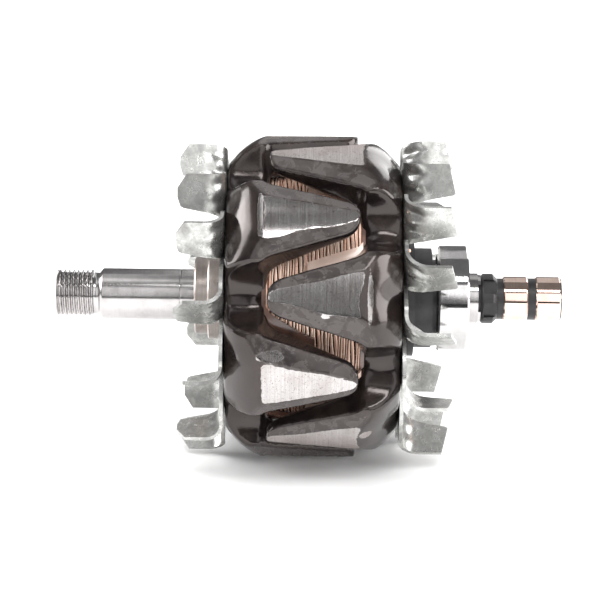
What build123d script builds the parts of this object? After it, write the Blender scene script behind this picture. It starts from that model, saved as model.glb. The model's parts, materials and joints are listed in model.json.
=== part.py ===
from build123d import *
import math
import os

# Claw-pole rotor of a vehicle alternator, lying on its side, in millimetres.
# X runs along the shaft from the threaded drive end (-X) to the slip rings (+X), and +Z is up.
# The origin is on the shaft's axis, in the middle plane of the two claw poles.

# Driving dimensions
ROTOR_RADIUS = 53.1
POLE_HALF_LENGTH = 28.5
WEB_INNER_FACE = 17.0
CLAW_COUNT = 6
CLAW_PITCH = 360 / CLAW_COUNT
SHAFT_RADIUS = 8.5
PRESS_RADIUS = 9.0
DRIVE_END = -85.0
SHEET = 1.2
FAN_FACE = POLE_HALF_LENGTH + SHEET

# Angles are measured about the shaft from -Y, which faces the front, up towards +Z.
RIGHT_CLAW_ANGLE = 15.0
LEFT_CLAW_ANGLE = RIGHT_CLAW_ANGLE - CLAW_PITCH / 2

# Claw pole
CORE_RADIUS = 24.5
VALLEY_RADIUS = 38.3
VALLEY_FILLET = 4.5
OUTER_FACE_RADIUS = 41.9
SHOULDER_START = 17.3
SHOULDER_RADIUS = 52.6
SHOULDER_MIDDLE = (24.0, 48.2)
CLAW_TIP = -14.6
CLAW_ROOT_INNER_RADIUS = 41.4
CLAW_TIP_INNER_RADIUS = 48.6
CLAW_ROOT_HALF_WIDTH = 14.1
CLAW_ROOT_STATION = 16.5
CLAW_TIP_HALF_WIDTH = 4.7
CLAW_TIP_ROUNDING = 4.3
BEVEL_SLOPE = 28.0
BEVEL_SETBACK = 0.45
BEVEL_CUT_LENGTH = 52.0
BEVEL_CUT_WIDTH = 14.0
BEVEL_CUT_HEIGHT = 6.0
NARROW_BEVEL_EDGE = ((18.0, 9.75), (-14.0, 2.6))
WIDE_BEVEL_EDGE = ((18.0, -7.65), (-14.0, -1.2))

# Field winding, its bobbin and its leads
COIL_INNER_RADIUS = 26.0
COIL_RADIUS = 39.6
FLANGE_INNER_STATION = 15.2
FLANGE_OUTER_STATION = 16.4
PETAL_THICKNESS = 0.8
PETAL_ROOT_HALF_WIDTH = 15.6
PETAL_TIP_HALF_WIDTH = 8.6
PETAL_TIP_STATION = -2.0
PETAL_TIP_ROUNDING = 5.0
LEAD_ANGLE = 37.0
LEAD_WIRE_RADIUS = 0.7
LEAD_RADIUS = 41.15
LEAD_STATION = 30.6
LEAD_BEND_RADIUS = 1.5
LEAD_HOLE_RADIUS = 1.3

# Shaft
THREAD_RADIUS = 7.9
THREAD_PITCH = 1.5
THREAD_DEPTH = 0.92
THREAD_TURNS = 8
THREAD_START = -84.3
CREST_WIDTH = 0.25
ROOT_START = 0.75
ROOT_END = 1.0
RELIEF_START = -72.3
RELIEF_END = -70.7
RELIEF_RADIUS = 7.0
JOURNAL_START = -69.7
SLEEVE_START = 51.2
SLEEVE_END = 54.5
SLEEVE_RADIUS = 8.4
SLEEVE_SEAT_RADIUS = 6.0
STUB_RADIUS = 4.5
STUB_END = 79.0
CENTRE_HOLE_RADIUS = 2.4
CENTRE_HOLE_DEPTH = 4.0

# Collars in front of the drive-end fan
SPACER_START = -39.0
SPACER_END = -34.6
SPACER_RADIUS = 12.85
THRUST_RADIUS = 14.6
COLLAR_CHAMFER = 0.5

# Fans, pressed from sheet: a disc with bent-up blades of uneven pitch
FAN_HUB_RADIUS = 40.0
FAN_EDGE_RADIUS = 45.5
BLADE_OUTER_RADIUS = 52.0
DRIVE_BEND_RADIUS = 4.6
DRIVE_BLADE_SWEEP = 10.8
DRIVE_BLADE_ANGLES = (86.5, 63.5, 41.5, 12.7, -17.2, -49.0, -81.0, -115.5, -145.0, -175.0, -204.5, -234.0)
DRIVE_BLADE_INNER_RADIUS = 41.5
DRIVE_BLADE_OUTLINE = ((0, 0), (0, 12.3), (4.5, 15.2), (7.5, 15.2), (10.8, 14.1), (12.6, 5.0), (14.5, 0))
REAR_BEND_RADIUS = 6.0
REAR_BLADE_SWEEP = 7.3
REAR_BLADE_ANGLES = (100.0, 71.5, 48.8, 26.1, 2.4, -28.0, -68.0, -97.0, -125.6, -152.0, -178.0, -204.0, -231.0)
REAR_BLADE_INNER_RADIUS = 42.5
REAR_BLADE_OUTLINE = ((0, 0), (0, 14.6), (10.0, 16.9), (11.4, 9.0), (13.0, 4.0), (15.5, 0))

# Plastic insulator behind the slip-ring-end fan
INSULATOR_FLANGE_RADIUS = 19.4
INSULATOR_CONE_DEPTH = 1.6
INSULATOR_FLANGE_START = 31.0
INSULATOR_FLANGE_END = 33.2
INSULATOR_BODY_RADIUS = 16.5
INSULATOR_BODY_END = 39.1
INSULATOR_NECK_RADIUS = 12.6
INSULATOR_LIP = 0.5

# Ball bearing, 17 x 35 x 10 mm, with a seal on each side
BEARING_START = 41.0
BEARING_END = 51.0
BEARING_RADIUS = 17.5
OUTER_RING_INNER_RADIUS = 14.3
INNER_RING_RADIUS = 11.2
SEAL_INNER_RADIUS = 11.5
SEAL_RECESS = 0.4
SEAL_THICKNESS = 0.9
BEARING_CHAMFER = 0.6

# Clip behind the sleeve
CLIP_WIDTH = 0.9
CLIP_INNER_RADIUS = 6.6
CLIP_OUTER_RADIUS = 7.9
CLIP_GAP_HALF_ANGLE = 35.0
CLIP_GAP_ANGLE = 16.0

# Slip rings and the plastic moulding that carries them
HUB_START = 55.6
HUB_BODY_RADIUS = 8.3
HUB_LEAD_IN = 0.7
HUB_BODY_END = 59.5
HUB_NECK_START = 61.0
HUB_NECK_RADIUS = 6.8
HUB_POCKET_START = 56.4
HUB_POCKET_END = 61.5
HUB_POCKET_WIDTH = 5.4
HUB_POCKET_FLOOR = 7.0
HUB_POCKET_ANGLES = (46.0, -14.0, 226.0, 166.0)
RING_RADIUS = 7.5
RING_SEAT_RADIUS = 5.8
BARRIER_RADIUS = 6.95
INNER_RING_START = 63.0
INNER_RING_END = 71.0
OUTER_RING_START = 73.7
OUTER_RING_END = 81.8
SLIP_RING_END = 82.2
RING_CHAMFER = 0.4

os.makedirs("parts", exist_ok=True)


def direction(angle):
    """Unit vector that points away from the shaft at an angle about it."""
    return Vector(0, -math.cos(math.radians(angle)), math.sin(math.radians(angle)))


def rim_plane(angle, side, height):
    """Plane tangent to the rotor: its x runs outboard and its normal away from the shaft."""
    return Plane(origin=direction(angle) * height, x_dir=(side, 0, 0), z_dir=direction(angle))


def around(first_angle):
    """The angle of each of the six claws of one pole."""
    return [first_angle + CLAW_PITCH * index for index in range(CLAW_COUNT)]


def write(piece, label):
    """Name a finished sub-part and write it to its own file."""
    piece.part.label = label
    export_step(piece.part, f"parts/{label}.step")


def turned(outline):
    """A piece turned about the shaft's axis from its half outline in x and radius."""
    with BuildPart() as piece:
        with BuildSketch(Plane.XZ):
            with BuildLine():
                Polyline(*outline, close=True)
            make_face()
        revolve(axis=Axis.X)
    return piece


# Shaft: threaded end, relief, journal, the thicker stretch that grips the poles, and the rear stub
thread_profile = []
for turn in range(THREAD_TURNS):
    crest = THREAD_START + THREAD_PITCH * turn
    thread_profile += [
        (crest, THREAD_RADIUS),
        (crest + CREST_WIDTH, THREAD_RADIUS),
        (crest + ROOT_START, THREAD_RADIUS - THREAD_DEPTH),
        (crest + ROOT_END, THREAD_RADIUS - THREAD_DEPTH),
    ]
shaft = turned(
    [
        (DRIVE_END + CENTRE_HOLE_DEPTH, 0),
        (DRIVE_END, CENTRE_HOLE_RADIUS),
        (DRIVE_END, THREAD_RADIUS - THREAD_DEPTH),
        *thread_profile,
        (RELIEF_START, RELIEF_RADIUS),
        (RELIEF_END, RELIEF_RADIUS),
        (JOURNAL_START, SHAFT_RADIUS),
        (SPACER_START, SHAFT_RADIUS),
        (SPACER_START, PRESS_RADIUS),
        (FAN_FACE, PRESS_RADIUS),
        (FAN_FACE, SHAFT_RADIUS),
        (SLEEVE_START, SHAFT_RADIUS),
        (SLEEVE_START, SLEEVE_SEAT_RADIUS),
        (SLEEVE_END, SLEEVE_SEAT_RADIUS),
        (SLEEVE_END, STUB_RADIUS),
        (STUB_END, STUB_RADIUS),
        (STUB_END, 0),
    ]
)
write(shaft, "shaft")

# Two turned collars between the drive-end bearing and the fan
spacer_collar = turned(
    [
        (SPACER_START, PRESS_RADIUS),
        (SPACER_START, SPACER_RADIUS - COLLAR_CHAMFER),
        (SPACER_START + COLLAR_CHAMFER, SPACER_RADIUS),
        (SPACER_END, SPACER_RADIUS),
        (SPACER_END, PRESS_RADIUS),
    ]
)
write(spacer_collar, "spacer_collar")

thrust_collar = turned(
    [
        (SPACER_END, PRESS_RADIUS),
        (SPACER_END, THRUST_RADIUS - COLLAR_CHAMFER),
        (SPACER_END + COLLAR_CHAMFER, THRUST_RADIUS),
        (-FAN_FACE - COLLAR_CHAMFER, THRUST_RADIUS),
        (-FAN_FACE, THRUST_RADIUS - COLLAR_CHAMFER),
        (-FAN_FACE, PRESS_RADIUS),
    ]
)
write(thrust_collar, "thrust_collar")


def bevel_plane(angle, side, edge, tilt):
    """Plane of a claw's bevelled flank, through the edge of its ground face."""
    rim = rim_plane(angle, side, ROTOR_RADIUS)
    (start_x, start_y), (end_x, end_y) = edge
    middle = rim.from_local_coords(((start_x + end_x) / 2, (start_y + end_y) / 2, -BEVEL_SETBACK))
    along = (rim.x_dir * (start_x - end_x) + rim.y_dir * (start_y - end_y)).normalized()
    across = rim.z_dir.rotate(Axis((0, 0, 0), along), tilt)
    return Plane(origin=middle, x_dir=along, z_dir=across)


def claw_pole(side, first_angle):
    """One forged pole: half the core, a scalloped web and six tapering claws."""
    with BuildPart() as pole:
        with BuildSketch(Plane.YZ.offset(side * WEB_INNER_FACE)):
            Circle(VALLEY_RADIUS)
            with PolarLocations(ROTOR_RADIUS / 2, CLAW_COUNT, start_angle=180 - first_angle):
                Rectangle(ROTOR_RADIUS, 2 * CLAW_ROOT_HALF_WIDTH)
            corners = [v for v in vertices() if abs(Vector(v).length - VALLEY_RADIUS) < VALLEY_FILLET]
            fillet(corners, radius=VALLEY_FILLET)
        extrude(amount=side * (POLE_HALF_LENGTH - WEB_INNER_FACE))
        with BuildSketch(Plane.YZ):
            Circle(CORE_RADIUS)
        extrude(amount=side * WEB_INNER_FACE)
        for angle in around(first_angle):
            with BuildSketch(rim_plane(angle, side, VALLEY_RADIUS)):
                with BuildLine():
                    Polyline(
                        (CLAW_TIP, -CLAW_TIP_HALF_WIDTH),
                        (CLAW_ROOT_STATION, -CLAW_ROOT_HALF_WIDTH),
                        (POLE_HALF_LENGTH, -CLAW_ROOT_HALF_WIDTH),
                        (POLE_HALF_LENGTH, CLAW_ROOT_HALF_WIDTH),
                        (CLAW_ROOT_STATION, CLAW_ROOT_HALF_WIDTH),
                        (CLAW_TIP, CLAW_TIP_HALF_WIDTH),
                        close=True,
                    )
                make_face()
                fillet(vertices().sort_by(Axis((0, 0, 0), (side, 0, 0)))[:2], radius=CLAW_TIP_ROUNDING)
            extrude(amount=ROTOR_RADIUS - VALLEY_RADIUS + BEVEL_SETBACK)
        with BuildSketch(Plane.XZ):
            with BuildLine():
                Polyline(
                    (side * POLE_HALF_LENGTH, OUTER_FACE_RADIUS),
                    (side * POLE_HALF_LENGTH, PRESS_RADIUS),
                    (0, PRESS_RADIUS),
                    (0, CORE_RADIUS),
                    (side * WEB_INNER_FACE, CORE_RADIUS),
                    (side * WEB_INNER_FACE, CLAW_ROOT_INNER_RADIUS),
                    (side * CLAW_TIP, CLAW_TIP_INNER_RADIUS),
                    (side * CLAW_TIP, ROTOR_RADIUS),
                    (side * SHOULDER_START, ROTOR_RADIUS),
                    (side * SHOULDER_START, SHOULDER_RADIUS),
                )
                ThreePointArc(
                    (side * SHOULDER_START, SHOULDER_RADIUS),
                    (side * SHOULDER_MIDDLE[0], SHOULDER_MIDDLE[1]),
                    (side * POLE_HALF_LENGTH, OUTER_FACE_RADIUS),
                )
            make_face()
        revolve(axis=Axis.X, mode=Mode.INTERSECT)
        for angle in around(first_angle):
            for edge, turn in ((NARROW_BEVEL_EDGE, 1), (WIDE_BEVEL_EDGE, -1)):
                with BuildSketch(bevel_plane(angle, side, edge, -turn * BEVEL_SLOPE)):
                    with Locations((0, turn * BEVEL_CUT_WIDTH / 2)):
                        Rectangle(BEVEL_CUT_LENGTH, BEVEL_CUT_WIDTH)
                extrude(amount=BEVEL_CUT_HEIGHT, mode=Mode.SUBTRACT)
    return pole


drive_end_pole = claw_pole(-1, LEFT_CLAW_ANGLE)
write(drive_end_pole, "drive_end_pole")
slip_ring_end_pole = claw_pole(1, RIGHT_CLAW_ANGLE)
write(slip_ring_end_pole, "slip_ring_end_pole")

# Bobbin: a tube on the core and two flanges
bobbin = turned(
    [
        (-FLANGE_OUTER_STATION, CORE_RADIUS),
        (-FLANGE_OUTER_STATION, COIL_RADIUS),
        (-FLANGE_INNER_STATION, COIL_RADIUS),
        (-FLANGE_INNER_STATION, COIL_INNER_RADIUS),
        (FLANGE_INNER_STATION, COIL_INNER_RADIUS),
        (FLANGE_INNER_STATION, COIL_RADIUS),
        (FLANGE_OUTER_STATION, COIL_RADIUS),
        (FLANGE_OUTER_STATION, CORE_RADIUS),
    ]
)
write(bobbin, "bobbin")

coil_winding = turned(
    [
        (-FLANGE_INNER_STATION, COIL_INNER_RADIUS),
        (-FLANGE_INNER_STATION, COIL_RADIUS),
        (FLANGE_INNER_STATION, COIL_RADIUS),
        (FLANGE_INNER_STATION, COIL_INNER_RADIUS),
    ]
)
write(coil_winding, "coil_winding")


def petals(side, first_angle):
    """Six insulating petals on the coil, one under each claw of the pole on this side."""
    with BuildPart() as leaf_ring:
        for angle in around(first_angle):
            with BuildSketch(rim_plane(angle, side, CORE_RADIUS)):
                with BuildLine():
                    Polyline(
                        (PETAL_TIP_STATION, -PETAL_TIP_HALF_WIDTH),
                        (FLANGE_OUTER_STATION, -PETAL_ROOT_HALF_WIDTH),
                        (FLANGE_OUTER_STATION, PETAL_ROOT_HALF_WIDTH),
                        (PETAL_TIP_STATION, PETAL_TIP_HALF_WIDTH),
                        close=True,
                    )
                make_face()
                fillet(vertices().sort_by(Axis((0, 0, 0), (side, 0, 0)))[:2], radius=PETAL_TIP_ROUNDING)
            extrude(amount=ROTOR_RADIUS - CORE_RADIUS)
        with BuildSketch(Plane.XZ):
            with Locations((0, COIL_RADIUS + PETAL_THICKNESS / 2)):
                Rectangle(2 * FLANGE_OUTER_STATION, PETAL_THICKNESS)
        revolve(axis=Axis.X, mode=Mode.INTERSECT)
    return leaf_ring


drive_end_petals = petals(-1, LEFT_CLAW_ANGLE)
write(drive_end_petals, "drive_end_petals")
slip_ring_end_petals = petals(1, RIGHT_CLAW_ANGLE)
write(slip_ring_end_petals, "slip_ring_end_petals")


def coil_lead(angle):
    """A coil lead: out through a valley of the web and a hole in the fan, then in to the insulator."""
    web_side = Plane(origin=(0, 0, 0), x_dir=(1, 0, 0), z_dir=direction(angle).cross(Vector(1, 0, 0)) * -1)
    with BuildPart() as lead:
        with BuildLine(web_side):
            route = FilletPolyline(
                (FLANGE_OUTER_STATION, LEAD_RADIUS),
                (LEAD_STATION, LEAD_RADIUS),
                (LEAD_STATION, INSULATOR_FLANGE_RADIUS),
                radius=LEAD_BEND_RADIUS,
            )
        with BuildSketch(Plane(origin=route @ 0, z_dir=route % 0)):
            Circle(LEAD_WIRE_RADIUS)
        sweep()
    return lead


write(coil_lead(LEAD_ANGLE), "coil_lead_near")
write(coil_lead(LEAD_ANGLE + 180), "coil_lead_far")


def blade(outline, bend_radius, side):
    """One fan blade: x runs in along its chord, side times y to the disc and z away from the pole."""
    root_length = outline[-1][0]
    height = max(point[1] for point in outline)
    outer_bend = bend_radius + SHEET
    with BuildPart() as leaf:
        with BuildSketch(Plane.YZ):
            with BuildLine():
                Line((outer_bend, 0), (outer_bend, SHEET))
                RadiusArc((outer_bend, SHEET), (SHEET, outer_bend), bend_radius)
                Polyline((SHEET, outer_bend), (SHEET, height), (0, height), (0, outer_bend))
                RadiusArc((0, outer_bend), (outer_bend, 0), -outer_bend)
            make_face()
        extrude(amount=root_length)
        with BuildSketch(Plane.XZ):
            with BuildLine():
                Polyline(*outline, close=True)
            make_face()
        extrude(amount=-2 * outer_bend, mode=Mode.INTERSECT)
        if side < 0:
            mirror(about=Plane.XZ, mode=Mode.REPLACE)
    return leaf


def fan(side, angles, sweep_angle, inner_radius, bend_radius, outline, lead_angles):
    """A pressed fan on the outer face of a pole: a star-shaped disc with swept blades."""
    leaf = blade(outline, bend_radius, side)
    face = Vector(side * POLE_HALF_LENGTH, 0, 0)
    axial = Vector(side, 0, 0)
    feet = []
    blade_planes = []
    for angle in sorted(angles):
        outer = direction(angle) * BLADE_OUTER_RADIUS
        inner = direction(angle - sweep_angle) * inner_radius
        chord = (inner - outer).normalized()
        inward = axial.cross(chord) * side
        foot_outer = outer + inward * (bend_radius + SHEET)
        feet.append((foot_outer + chord * outline[-1][0], foot_outer))
        blade_planes.append(Plane(origin=outer + face, x_dir=chord, z_dir=axial))
    with BuildPart() as wheel:
        with BuildSketch(Plane.YZ.offset(side * POLE_HALF_LENGTH)):
            with BuildLine():
                for (inner, outer), (next_inner, next_outer) in zip(feet, feet[1:] + feet[:1]):
                    middle = (outer + next_inner).normalized() * FAN_EDGE_RADIUS
                    Line((inner.Y, inner.Z), (outer.Y, outer.Z))
                    ThreePointArc((outer.Y, outer.Z), (middle.Y, middle.Z), (next_inner.Y, next_inner.Z))
            make_face()
            Circle(FAN_HUB_RADIUS)
            Circle(PRESS_RADIUS, mode=Mode.SUBTRACT)
            for angle in lead_angles:
                hole = direction(angle) * LEAD_RADIUS
                with Locations((hole.Y, hole.Z)):
                    Circle(LEAD_HOLE_RADIUS, mode=Mode.SUBTRACT)
        extrude(amount=side * SHEET)
        for blade_plane in blade_planes:
            with Locations(blade_plane):
                add(leaf.part)
    return wheel


drive_end_fan = fan(
    -1,
    DRIVE_BLADE_ANGLES,
    DRIVE_BLADE_SWEEP,
    DRIVE_BLADE_INNER_RADIUS,
    DRIVE_BEND_RADIUS,
    DRIVE_BLADE_OUTLINE,
    (),
)
write(drive_end_fan, "drive_end_fan")
slip_ring_end_fan = fan(
    1,
    REAR_BLADE_ANGLES,
    REAR_BLADE_SWEEP,
    REAR_BLADE_INNER_RADIUS,
    REAR_BEND_RADIUS,
    REAR_BLADE_OUTLINE,
    (LEAD_ANGLE, LEAD_ANGLE + 180),
)
write(slip_ring_end_fan, "slip_ring_end_fan")

# Insulator that carries the coil leads past the bearing
lead_insulator = turned(
    [
        (FAN_FACE, SHAFT_RADIUS),
        (FAN_FACE, INSULATOR_FLANGE_RADIUS - INSULATOR_CONE_DEPTH),
        (INSULATOR_FLANGE_START, INSULATOR_FLANGE_RADIUS),
        (INSULATOR_FLANGE_END, INSULATOR_FLANGE_RADIUS),
        (INSULATOR_FLANGE_END, INSULATOR_BODY_RADIUS),
        (INSULATOR_BODY_END, INSULATOR_BODY_RADIUS),
        (INSULATOR_BODY_END, INSULATOR_NECK_RADIUS),
        (BEARING_START - INSULATOR_LIP, INSULATOR_NECK_RADIUS),
        (BEARING_START - INSULATOR_LIP, INNER_RING_RADIUS),
        (BEARING_START, INNER_RING_RADIUS),
        (BEARING_START, SHAFT_RADIUS),
    ]
)
write(lead_insulator, "lead_insulator")

# Bearing: the inner ring grips the shaft, and the outer ring turns on it with both seals
bearing_inner_ring = turned(
    [
        (BEARING_START, SHAFT_RADIUS),
        (BEARING_START, INNER_RING_RADIUS),
        (BEARING_END, INNER_RING_RADIUS),
        (BEARING_END, SHAFT_RADIUS),
    ]
)
write(bearing_inner_ring, "bearing_inner_ring")

bearing_outer_ring = turned(
    [
        (BEARING_START, OUTER_RING_INNER_RADIUS),
        (BEARING_START, BEARING_RADIUS - BEARING_CHAMFER),
        (BEARING_START + BEARING_CHAMFER, BEARING_RADIUS),
        (BEARING_END - BEARING_CHAMFER, BEARING_RADIUS),
        (BEARING_END, BEARING_RADIUS - BEARING_CHAMFER),
        (BEARING_END, OUTER_RING_INNER_RADIUS),
    ]
)
write(bearing_outer_ring, "bearing_outer_ring")


def seal(station):
    """A thin washer that closes one side of the bearing."""
    return turned(
        [
            (station, SEAL_INNER_RADIUS),
            (station, OUTER_RING_INNER_RADIUS),
            (station + SEAL_THICKNESS, OUTER_RING_INNER_RADIUS),
            (station + SEAL_THICKNESS, SEAL_INNER_RADIUS),
        ]
    )


write(seal(BEARING_START + SEAL_RECESS), "bearing_seal_inboard")
write(seal(BEARING_END - SEAL_RECESS - SEAL_THICKNESS), "bearing_seal_outboard")

# Sleeve pressed on behind the bearing
rear_sleeve = turned(
    [
        (SLEEVE_START, SLEEVE_SEAT_RADIUS),
        (SLEEVE_START, SLEEVE_RADIUS),
        (SLEEVE_END, SLEEVE_RADIUS),
        (SLEEVE_END, SLEEVE_SEAT_RADIUS),
    ]
)
write(rear_sleeve, "rear_sleeve")

# Open wire clip between the sleeve and the moulding, with its gap at the front
with BuildPart() as retaining_clip:
    with BuildSketch(Plane.YZ.offset(SLEEVE_END)):
        Circle(CLIP_OUTER_RADIUS)
        Circle(CLIP_INNER_RADIUS, mode=Mode.SUBTRACT)
        gap_points = [(0, 0)]
        for gap_side in (-1, 1):
            corner = direction(CLIP_GAP_ANGLE + gap_side * CLIP_GAP_HALF_ANGLE) * 2 * CLIP_OUTER_RADIUS
            gap_points.append((corner.Y, corner.Z))
        with BuildLine():
            Polyline(*gap_points, close=True)
        make_face(mode=Mode.SUBTRACT)
    extrude(amount=CLIP_WIDTH)
write(retaining_clip, "retaining_clip")

# Slip-ring moulding with four shallow pockets, and its two rings
with BuildPart() as slip_ring_hub:
    with BuildSketch(Plane.XZ):
        with BuildLine():
            Polyline(
                (SLEEVE_END, STUB_RADIUS),
                (SLEEVE_END, CLIP_INNER_RADIUS),
                (HUB_START, CLIP_INNER_RADIUS),
                (HUB_START, HUB_BODY_RADIUS - HUB_LEAD_IN),
                (HUB_START + HUB_LEAD_IN, HUB_BODY_RADIUS),
                (HUB_BODY_END, HUB_BODY_RADIUS),
                (HUB_NECK_START, HUB_NECK_RADIUS),
                (INNER_RING_START, HUB_NECK_RADIUS),
                (INNER_RING_START, RING_SEAT_RADIUS),
                (INNER_RING_END, RING_SEAT_RADIUS),
                (INNER_RING_END, BARRIER_RADIUS),
                (OUTER_RING_START, BARRIER_RADIUS),
                (OUTER_RING_START, RING_SEAT_RADIUS),
                (OUTER_RING_END, RING_SEAT_RADIUS),
                (OUTER_RING_END, BARRIER_RADIUS),
                (SLIP_RING_END, BARRIER_RADIUS),
                (SLIP_RING_END, 0),
                (STUB_END, 0),
                (STUB_END, STUB_RADIUS),
                close=True,
            )
        make_face()
    revolve(axis=Axis.X)
    for angle in HUB_POCKET_ANGLES:
        with BuildSketch(rim_plane(angle, 1, HUB_POCKET_FLOOR)):
            with Locations(((HUB_POCKET_START + HUB_POCKET_END) / 2, 0)):
                Rectangle(HUB_POCKET_END - HUB_POCKET_START, HUB_POCKET_WIDTH)
        extrude(amount=HUB_BODY_RADIUS, mode=Mode.SUBTRACT)
write(slip_ring_hub, "slip_ring_hub")


def slip_ring(start, end):
    """A plain collector ring with broken edges."""
    return turned(
        [
            (start, RING_SEAT_RADIUS),
            (start, RING_RADIUS - RING_CHAMFER),
            (start + RING_CHAMFER, RING_RADIUS),
            (end - RING_CHAMFER, RING_RADIUS),
            (end, RING_RADIUS - RING_CHAMFER),
            (end, RING_SEAT_RADIUS),
        ]
    )


write(slip_ring(INNER_RING_START, INNER_RING_END), "slip_ring_inner")
write(slip_ring(OUTER_RING_START, OUTER_RING_END), "slip_ring_outer")
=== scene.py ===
# %% [markdown]
# # A claw-pole rotor, dressed for the camera
# The engineering model gives every piece its place and size. This notebook gives the pieces their
# finish: varnished forgings with bare ground faces, zinc sheet, wound copper and turned steel.
# The first cell loads the model and keeps its box, because nothing here may grow out of it.

import json
import math

import bpy
import numpy as np
import openvdb
from mathutils import Matrix, Vector


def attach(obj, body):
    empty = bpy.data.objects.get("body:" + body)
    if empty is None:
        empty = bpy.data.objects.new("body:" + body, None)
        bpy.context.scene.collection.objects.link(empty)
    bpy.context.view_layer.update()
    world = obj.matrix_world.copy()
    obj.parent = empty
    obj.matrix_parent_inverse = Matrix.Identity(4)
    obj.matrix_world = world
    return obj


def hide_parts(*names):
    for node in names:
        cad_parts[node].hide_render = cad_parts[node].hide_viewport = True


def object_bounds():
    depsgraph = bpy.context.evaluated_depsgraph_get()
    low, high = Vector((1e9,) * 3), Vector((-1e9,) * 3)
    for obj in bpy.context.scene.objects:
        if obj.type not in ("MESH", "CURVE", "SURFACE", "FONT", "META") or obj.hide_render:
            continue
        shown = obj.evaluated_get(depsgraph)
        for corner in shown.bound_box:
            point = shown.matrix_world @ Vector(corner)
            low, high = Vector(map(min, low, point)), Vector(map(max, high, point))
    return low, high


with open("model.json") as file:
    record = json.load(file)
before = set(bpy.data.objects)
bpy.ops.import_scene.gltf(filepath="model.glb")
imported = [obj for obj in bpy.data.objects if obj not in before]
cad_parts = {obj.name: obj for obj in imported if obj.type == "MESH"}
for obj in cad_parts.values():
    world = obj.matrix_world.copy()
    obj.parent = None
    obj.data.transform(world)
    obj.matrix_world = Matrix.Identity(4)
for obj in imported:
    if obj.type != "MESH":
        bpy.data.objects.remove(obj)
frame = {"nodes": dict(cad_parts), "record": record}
cad_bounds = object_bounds()
nodes = frame["nodes"]
MM = 0.001

# %% [markdown]
# ## Camera
# The photograph was taken from the front, a little above the shaft, with a long lens. The frame is
# square, so the lens follows from how many pixels the picture would need for one radian.

# %% Place the camera
IMAGE_SIZE = 600
FOCAL_LENGTH_IN_PIXELS = 2407
SENSOR_MM = 36.0
CAMERA_ELEVATION = math.radians(16)
CAMERA_ROLL = math.radians(0.77)
CAMERA_DISTANCE = 0.8
AIM = Vector((-0.0042, 0, 0))
AIM_DROP = 0.00131
CLIP_START = 0.01


def place_camera():
    """A camera that looks at the rotor from the photograph's side and height."""
    forward = Vector((0, math.cos(CAMERA_ELEVATION), -math.sin(CAMERA_ELEVATION)))
    level_right = Vector((1, 0, 0))
    level_up = level_right.cross(forward)
    right = level_right * math.cos(CAMERA_ROLL) + level_up * math.sin(CAMERA_ROLL)
    up = level_up * math.cos(CAMERA_ROLL) - level_right * math.sin(CAMERA_ROLL)
    camera = bpy.data.objects.new("camera", bpy.data.cameras.new("camera"))
    bpy.context.scene.collection.objects.link(camera)
    turn = Matrix((right, up, -forward)).transposed().to_4x4()
    spot = AIM - level_up * AIM_DROP - forward * CAMERA_DISTANCE
    camera.matrix_world = Matrix.Translation(spot) @ turn
    camera.data.sensor_width = SENSOR_MM
    camera.data.lens = FOCAL_LENGTH_IN_PIXELS / IMAGE_SIZE * SENSOR_MM
    camera.data.clip_start = CLIP_START
    bpy.context.scene.camera = camera
    return camera


camera = place_camera()
print("camera at", tuple(round(v, 3) for v in camera.location), "lens", round(camera.data.lens, 1))

# %% [markdown]
# ## Shader maths as Python
# A material is a net of small nodes. Wiring them by hand hides the idea, so one class wraps a
# socket and lets Python's own operators add the nodes: `1 - mask` becomes a Math node, and the same
# line on a vector becomes a Vector Math node. Everything else comes from one method, `node`.


# %% Sockets that read like numbers
class Strand:
    """An output socket of a material, which Python's operators can reckon with."""

    def __init__(self, finish, socket):
        self.finish = finish
        self.socket = socket

    def reckon(self, operation, first, second):
        """The outcome of one Math or Vector Math node."""
        kind = "VectorMath" if self.socket.type == "VECTOR" else "Math"
        return self.finish.node(kind, {"operation": operation}, {0: first, 1: second})

    def __add__(self, other):
        return self.reckon("ADD", self, other)

    def __radd__(self, other):
        return self.reckon("ADD", other, self)

    def __sub__(self, other):
        return self.reckon("SUBTRACT", self, other)

    def __rsub__(self, other):
        return self.reckon("SUBTRACT", other, self)

    def __mul__(self, other):
        return self.reckon("MULTIPLY", self, other)

    def __rmul__(self, other):
        return self.reckon("MULTIPLY", other, self)

    def __pow__(self, other):
        return self.reckon("POWER", self, other)

    def __rpow__(self, other):
        return self.reckon("POWER", other, self)

    def rise(self, low, high):
        """0 below low, 1 above high, and a smooth ramp between them."""
        settings = {"interpolation_type": "SMOOTHSTEP"}
        return self.finish.node("MapRange", settings, {"Value": self, "From Min": low, "From Max": high})

    def other(self, name):
        """Another output of the same node."""
        return Strand(self.finish, self.socket.node.outputs[name])


# %% [markdown]
# `Finish` is one material. It knows where a point lies on the rotor, in millimetres: along the
# shaft, out from it and around it. Those three are what a lathe, a grinder and a winding machine
# leave their marks along.


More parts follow.
